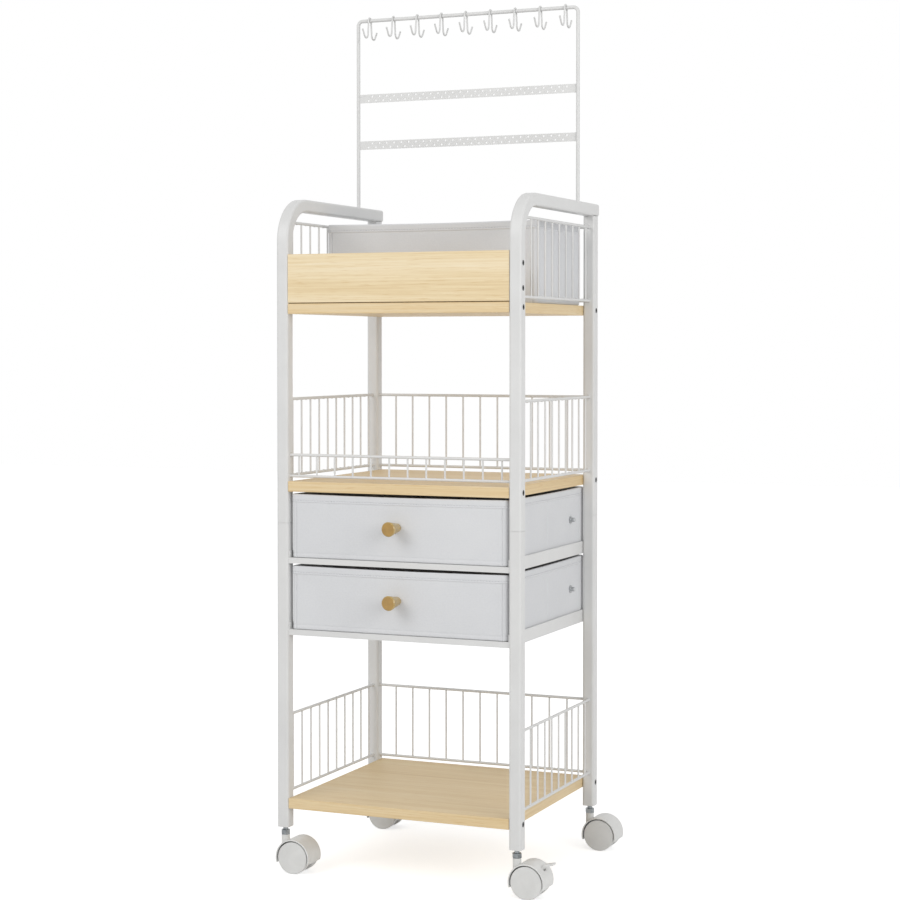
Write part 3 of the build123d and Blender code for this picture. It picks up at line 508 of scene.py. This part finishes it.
def sewn_box(name, node, body, seats=()):
    """An open box of card sewn into cloth, in the place of its CAD node.

    The wall's section is carried round the outline. The outer face moves along its normal: a hem
    stands out at the top, with a groove for its stitching; the panel below it is a low crown with
    slow ripples, pinched by a seam beside each corner, a seam above the bottom and, on the two
    sides, a crease half way. The hem's step fades out towards the back corners. Round each seat,
    given as side, run, height and radius, the cloth is pressed flat against what is fastened there
    and puckers further out.
    """
    low, middle, size = cloth_box(node)
    height = size[2]
    outline, normals, sides, runs, ends = wall_outline(size[0] / 2, size[1] / 2)
    inset, level, share = wall_profile(height)
    side, run, end = (part[:, None] for part in (sides, runs, ends))
    up = level[None, :]
    hem_edge = height - hem_height
    below = 0.5 - 0.5 * np.tanh((up - hem_edge) / hem_ramp)

    to_end = np.sin(np.pi / 2 * np.clip(end / crown_run, 0, 1))
    arch = to_end * np.sin(np.pi * np.clip(up / hem_edge, 0, 1))
    ripple = sum(tall * np.sin(run * along + up * rise + start + turn * side)
                 for tall, along, rise, start, turn in ripples)
    back_edge = np.hypot(size[0] / 2 - np.abs(outline[:, :1]), size[1] / 2 - outline[:, 1:])
    step = hem_step - groove(back_edge, hem_step, hem_fade)
    shift = below * (-step + crown_height * arch + ripple_height * ripple * arch)
    shift -= groove(up - hem_edge - stitch_rise, *stitch_groove)
    shift -= below * groove(end - corner_seam, *corner_groove) * (end > 0)
    shift -= groove(up - bottom_seam, *bottom_groove)
    shift -= below * groove(run, *crease_groove) * (side % 2 == 1)
    for seat_side, seat_run, seat_level, radius in seats:
        reach = np.hypot(run - seat_run, up - seat_level) / radius
        pressed = np.clip((seat_end - reach) / (seat_end - 1), 0, 1) * (side == seat_side)
        pucker = groove(reach - pucker_place, pucker_depth, pucker_width) * (side == seat_side)
        shift = shift * (1 - pressed) - pucker

    ring = outline[:, None, :] + normals[:, None, :] * (shift * share - inset)[..., None]
    tall = up - sag(run, end, up, height)
    points = np.concatenate([ring + middle[:2], (tall + low[2])[..., None]], axis=2)
    faces = capped_faces(*points.shape[:2])
    piece = mesh_piece(name, points, faces, finishes["drawer_fabric"], body)
    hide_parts(node)


def bead(meridians=6, rings=3):
    """A small ball of meridians and rings between two poles, as points, quads and triangles."""
    turn = np.linspace(0, 2 * np.pi, meridians, endpoint=False)
    lean = np.linspace(0, np.pi, rings + 2)[1:-1, None]
    ring = np.stack([np.cos(lean) + 0 * turn, np.sin(lean) * np.cos(turn), np.sin(lean) * np.sin(turn)], -1)
    points = np.concatenate([[[1.0, 0, 0]], ring.reshape(-1, 3), [[-1.0, 0, 0]]])
    index = 1 + np.arange(meridians * rings).reshape(rings, meridians)
    after = np.roll(index, -1, axis=1)
    quads = np.stack([index[:-1], index[1:], after[1:], after[:-1]], -1).reshape(-1, 4)
    first = np.stack([np.zeros(meridians, int), index[0], after[0]], -1)
    last = np.stack([np.full(meridians, len(points) - 1), after[-1], index[-1]], -1)
    return points, quads, np.concatenate([first, last])


def hem_stitches(name, node, body):
    """A row of thread round the hem: flat beads a pitch apart along the wall's outline."""
    _, middle, size = cloth_box(node)
    outline, normals, _, runs, ends = wall_outline(size[0] / 2, size[1] / 2)
    rows = np.column_stack([outline, normals, runs, ends])
    rows = np.concatenate([rows, rows[:1]])
    length = np.concatenate([[0.0], np.cumsum(np.hypot(*np.diff(rows[:, :2], axis=0).T))])
    count = int(length[-1] / stitch_pitch)
    at = np.arange(count) * length[-1] / count
    x, y, out_x, out_y, run, end = (np.interp(at, length, row) for row in rows.T)
    level = size[2] - hem_height + stitch_rise
    out = np.stack([out_x, out_y, 0 * out_x], -1)
    out /= np.linalg.norm(out, axis=1, keepdims=True)
    rise = np.array([0.0, 0.0, 1.0])
    way = np.cross(rise, out)
    centre = np.stack([x, y, level - sag(run, end, level, size[2]) - size[2] / 2], -1) + middle
    centre -= stitch_sink * out
    shape, quads, triangles = bead()
    along, tall, proud = stitch_axes
    points = (centre[:, None] + along * shape[None, :, :1] * way[:, None]
              + tall * shape[None, :, 1:2] * rise + proud * shape[None, :, 2:] * out[:, None])
    start = (np.arange(count) * len(shape))[:, None, None]
    faces = (start + quads).reshape(-1, 4).tolist() + (start + triangles).reshape(-1, 3).tolist()
    mesh_piece(name, points, faces, thread, body)


def seat(node, box_node, side, radius):
    """Where a fastened piece meets a drawer's wall, as side, run, height and radius."""
    low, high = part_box(node)
    box_low, box_middle, _ = cloth_box(box_node)
    place = np.array(low + high) / 2
    x, y, _ = place - box_middle
    run = (x, y, -x, -y)[side]
    return side, run, place[2] - box_low[2], radius


for drawer in ("upper", "lower"):
    box_node = f"{drawer}_drawer_box"
    knob, studs = f"{drawer}_drawer_knob", f"{drawer}_drawer_stop_studs"
    drawer_seats = [seat(knob, box_node, 0, knob_seat), seat(studs, box_node, 1, stud_seat),
                    seat(studs, box_node, 3, stud_seat)]
    sewn_box(f"{drawer}_drawer_cloth", box_node, f"{drawer}_drawer", drawer_seats)
    hem_stitches(f"{drawer}_drawer_stitches", box_node, f"{drawer}_drawer")
sewn_box("top_bin_cloth", "top_fabric_bin", "top_bin")
hem_stitches("top_bin_stitches", "top_fabric_bin", "top_bin")


# Weld collars of the wire guards

def weld_collars(name, joints, bar_radius, spread, length, around, along):
    """Collars of weld metal where bars end, one at each joint's place, along its axis.

    Each collar is a ring turned about its bar: outside, its radius falls from the bar's radius plus
    the spread to the bar's own with the square of the distance left, with low lumps round it;
    inside, it lies just under the bar's surface.
    """
    places, axes = (np.array(part) for part in zip(*joints))
    helper = np.where(np.abs(axes[:, 2:]) > 0.5, [1.0, 0.0, 0.0], [0.0, 0.0, 1.0])
    side = np.cross(helper, axes)
    other = np.cross(axes, side)
    left = 1 - np.linspace(0.0, 1.0, along)
    reach = np.concatenate([length * (1 - left), [length, 0.0]])
    outside = bar_radius + collar_skin + spread * left ** 2
    radius = np.concatenate([outside, 2 * [bar_radius - collar_sink]])
    swell = np.concatenate([left ** 2, [0.0, 0.0]])
    turn = np.linspace(0, 2 * np.pi, around, endpoint=False)[:, None]
    wide = radius + lump_height * spread * swell * np.sin(collar_lumps * turn)
    points = (places[:, None, None] + reach[:, None] * axes[:, None, None]
              + (wide * np.cos(turn))[..., None] * side[:, None, None]
              + (wide * np.sin(turn))[..., None] * other[:, None, None])
    rows = along + 2
    start = (np.arange(len(places)) * around * rows)[:, None, None]
    faces = (start + grid_faces(around, rows, closed=True)).reshape(-1, 4)
    mesh_piece(name, points, faces.tolist(), finishes["powder_coat"], "frame")


def bar_ends(run_axis, across, start, stop, heights, extra):
    """Joints of one guard, whose two rails run along X or Y: ends of the rails, and of the wires.

    Each joint is a place and the way the bar leaves it. The wires stand a pitch apart about the
    middle, as many as the rails' length and the extra length have room for.
    """
    rails, wires = [], []
    for height in heights:
        for place, way in ((start, 1.0), (stop, -1.0)):
            point, direction = [across, across, height], [0.0, 0.0, 0.0]
            point[run_axis], direction[run_axis] = place, way
            rails.append((tuple(point), tuple(direction)))
    hair = 1e-6  # keeps a whole number of pitches from being rounded down
    count = int((stop - start + extra) / guard_wire_pitch + hair)
    for number in range(count):
        point = [across, across]
        point[run_axis] = (start + stop) / 2 + (number - (count - 1) / 2) * guard_wire_pitch
        wires.append(((*point, heights[0] + wire_rise), (0.0, 0.0, 1.0)))
        wires.append(((*point, heights[1] - wire_rise), (0.0, 0.0, -1.0)))
    return rails, wires


def guard_joints():
    """Ends of the guards' rails on the posts, and ends of their upright wires on the rails.

    Rails lie one rail radius inside their node's box. Where the top guards meet the bend of the
    front tubes, the rail ends on the circle of the bend's inner wall.
    """
    levels = ("bottom", "middle", "top")
    kinds = [(f"{level}_side_guards", 1, (0, 1), 0.0) for level in levels]
    kinds.append(("middle_front_guard", 0, (0,), guard_wire_pitch))
    guards = []
    for node, run_axis, edges, extra in kinds:
        low, high = (np.array(corner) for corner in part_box(node))
        heights = (low[2] + guard_rail_radius, high[2] - guard_rail_radius)
        for edge in edges:
            across = (low, high)[edge][1 - run_axis] + (1, -1)[edge] * guard_rail_radius
            guards.append(bar_ends(run_axis, across, low[run_axis], high[run_axis], heights, extra))
    low, high = (np.array(corner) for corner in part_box("rear_guards"))
    for level in levels:
        side_low, side_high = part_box(f"{level}_side_guards")
        heights = (side_low.z + guard_rail_radius, side_high.z - guard_rail_radius)
        guards.append(bar_ends(0, (low[1] + high[1]) / 2, low[0], high[0], heights, 0.0))
    rails, wires = (sum(part, []) for part in zip(*guards))

    tube_low, tube_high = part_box("left_bent_front_tube")
    bend_y = tube_low.y + tube_size / 2 + bend_radius
    bend_z = tube_high.z - tube_size / 2 - bend_radius
    inner = bend_radius - tube_size / 2
    for number, (place, way) in enumerate(rails):
        lift = place[2] - bend_z
        if way[1] > 0.5 and 0 < lift < inner:
            rails[number] = ((place[0], bend_y - np.sqrt(inner ** 2 - lift ** 2), place[2]), way)
    return rails, wires


rail_joints, wire_joints = guard_joints()
weld_collars("guard_rail_welds", rail_joints, guard_rail_radius, *rail_collar)
weld_collars("guard_wire_welds", wire_joints, guard_wire_radius, *wire_collar)


# Joint of the front panel and the top shelf, its shadow painted by a dark strip

def joint_shade_strip(around=16, along=25):
    """A dark strip in the brown of fibreboard that fills the joint, set back from the boards' faces: painted
    shade standing in for the shadow inside the gap.

    Its section is a superellipse, as wide as the panel is thick less the setbacks and as high as the
    joint, carried along X. The width follows a slow wave.
    """
    panel_low, panel_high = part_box("top_front_panel")
    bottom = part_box("top_shelf")[1].z
    turn = np.linspace(0, 2 * np.pi, around, endpoint=False)[:, None]
    across, rise = (np.sign(part) * np.abs(part) ** strip_square for part in (np.cos(turn), np.sin(turn)))
    x = np.linspace(panel_low.x + strip_inset, panel_high.x - strip_inset, along)[None, :] + 0 * turn
    wide = (panel_high.y - panel_low.y) / 2 - strip_setback + strip_wave * np.sin(strip_wave_rate * x)
    y = (panel_low.y + panel_high.y) / 2 + wide * across
    z = (panel_low.z + bottom) / 2 + (panel_low.z - bottom) / 2 * rise + 0 * x
    points = np.stack([x, y, z], -1)
    faces = capped_faces(around, along)
    # The dark fibreboard finish on this strip is painted shade: it stands in for the shadow inside the joint
    mesh_piece("panel_joint_shade_strip", points, faces, finishes["base_board"], "frame")


joint_shade_strip()


# Floor, light and camera

def seen_directly(tree):
    """The largest of three ray flags: one for what is seen straight, in a gloss or through a clear piece."""
    path = put(tree, "ShaderNodeLightPath").outputs
    seen = path["Is Camera Ray"]
    for kind in ("Is Glossy Ray", "Is Transmission Ray"):
        seen = put(tree, "ShaderNodeMath", {0: seen, 1: path[kind]}, operation="MAXIMUM")
    return seen


def pale_floor():
    """A pale floor that reads as white.

    It adds a glow for the eye and for reflections to its lit colour, so it stays white to the
    horizon and still takes the shadow.
    """
    material, tree, shader, coords = finish_of("pale_floor", {"Roughness": 0.8, "IOR": 1.3})
    cloud = put(tree, "ShaderNodeTexNoise", {
        "Vector": coords["Object"], "Scale": per_mm(600), "Detail": 2.0})
    put(tree, "ShaderNodeValToRGB", {"Fac": cloud}, to=shader["Base Color"],
        stops=((0.3, "#DADADA"), (0.7, "#DEDEDE")))
    level = put(tree, "ShaderNodeMath", {0: seen_directly(tree), 1: floor_glow}, operation="MULTIPLY")
    glow = put(tree, "ShaderNodeEmission", {"Color": linear("#FFFFFF"), "Strength": level})
    lit = tree.nodes["Principled BSDF"]
    put(tree, "ShaderNodeAddShader", {0: lit, 1: glow}, to=tree.nodes["Material Output"].inputs["Surface"])
    mesh = bpy.data.meshes.new("floor")
    corners = [(x * floor_reach, y * floor_reach, 0) for x, y in ((-1, -1), (1, -1), (1, 1), (-1, 1))]
    mesh.from_pydata(corners, [], [(0, 1, 2, 3)])
    mesh.materials.append(material)
    floor = bpy.data.objects.new("floor", mesh)
    bpy.context.scene.collection.objects.link(floor)


def studio_light():
    """An even sky that is white where it is seen, and two soft lamps in front."""
    world = bpy.data.worlds.new("studio")
    bpy.context.scene.world = world
    world.use_nodes = True
    tree = world.node_tree
    tree.nodes.clear()
    sky = put(tree, "ShaderNodeBackground", {"Color": linear("#FFFFFF"), "Strength": sky_strength})
    white = put(tree, "ShaderNodeBackground", {"Color": linear("#FFFFFF"), "Strength": 1.0})
    mixed = put(tree, "ShaderNodeMixShader", {0: seen_directly(tree), 1: sky, 2: white})
    put(tree, "ShaderNodeOutputWorld", {"Surface": mixed})
    for name, place, size, power in lamps:
        lamp = bpy.data.lights.new(name, "AREA")
        lamp.size = size
        lamp.energy = power
        holder = bpy.data.objects.new(name, lamp)
        holder.location = place
        aim = Vector(lamp_aim) - Vector(place)
        holder.rotation_euler = aim.to_track_quat("-Z", "Y").to_euler()
        bpy.context.scene.collection.objects.link(holder)


def photo_camera():
    """The camera, from its place, its way ahead and its right."""
    lens = bpy.data.cameras.new("photo_camera")
    lens.sensor_width = 36.0
    lens.lens = camera_lens
    lens.shift_y = camera_shift
    lens.clip_end = 50.0
    ahead, right = Vector(camera_ahead).normalized(), Vector(camera_right).normalized()
    turn = Matrix((right, right.cross(ahead), -ahead)).transposed().to_4x4()
    camera = bpy.data.objects.new("photo_camera", lens)
    camera.matrix_world = Matrix.Translation(camera_place) @ turn
    bpy.context.scene.collection.objects.link(camera)
    bpy.context.scene.camera = camera


pale_floor()
studio_light()
photo_camera()
bpy.context.scene.view_settings.view_transform = "Standard"
